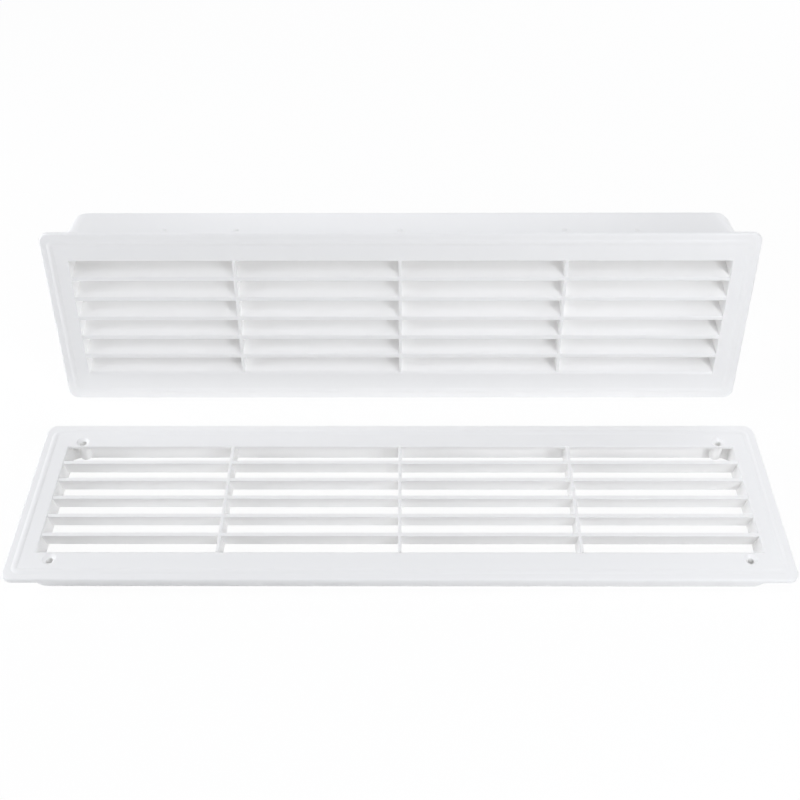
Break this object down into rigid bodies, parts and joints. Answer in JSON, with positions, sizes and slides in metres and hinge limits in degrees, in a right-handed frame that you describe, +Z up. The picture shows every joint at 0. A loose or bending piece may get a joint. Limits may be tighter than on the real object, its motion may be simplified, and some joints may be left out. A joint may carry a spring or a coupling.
{
  "type": "door vent grille",
  "caption": "White plastic door vent grille in halves that slide together: slatted face plates on rectangular collars, the rear half lying face up, the front half standing and leaning back.",
  "frame": {"origin": "centre of the footprint of both halves together, on the surface that they stand on", "axes": "+X along the grille's width, to the right as seen facing the two faces; +Y from the rear half, which lies in front, towards the front half, which stands behind it; +Z up"},
  "size_m": [0.455, 0.2344, 0.1225],
  "materials": {
    "white_plastic": "satin white moulded plastic, slightly glossy on the bead and the rounded edges"
  },
  "bodies": {
    "rear_half": {"rear_face_plate": "white_plastic", "rear_collar": "white_plastic", "rear_sill": "white_plastic", "rear_end_rib_left": "white_plastic", "rear_end_rib_right": "white_plastic", "rear_slat_1": "white_plastic", "rear_slat_2": "white_plastic", "rear_slat_3": "white_plastic", "rear_slat_4": "white_plastic", "rear_slat_5": "white_plastic", "rear_divider_1": "white_plastic", "rear_divider_2": "white_plastic", "rear_divider_3": "white_plastic", "rear_screw_bosses": "white_plastic"},
    "front_half": {"front_face_plate": "white_plastic", "front_collar": "white_plastic", "front_sill": "white_plastic", "front_end_rib_left": "white_plastic", "front_end_rib_right": "white_plastic", "front_slat_1": "white_plastic", "front_slat_2": "white_plastic", "front_slat_3": "white_plastic", "front_slat_4": "white_plastic", "front_slat_5": "white_plastic", "front_divider_1": "white_plastic", "front_divider_2": "white_plastic", "front_divider_3": "white_plastic", "front_screw_posts": "white_plastic", "front_grip_pips": "white_plastic"}
  },
  "joints": [
    {"name": "front_half_lift", "type": "slide", "parent": "rear_half", "child": "front_half", "axis": [0, 0, 1], "range_m": [0, 0.15]}
  ]
}
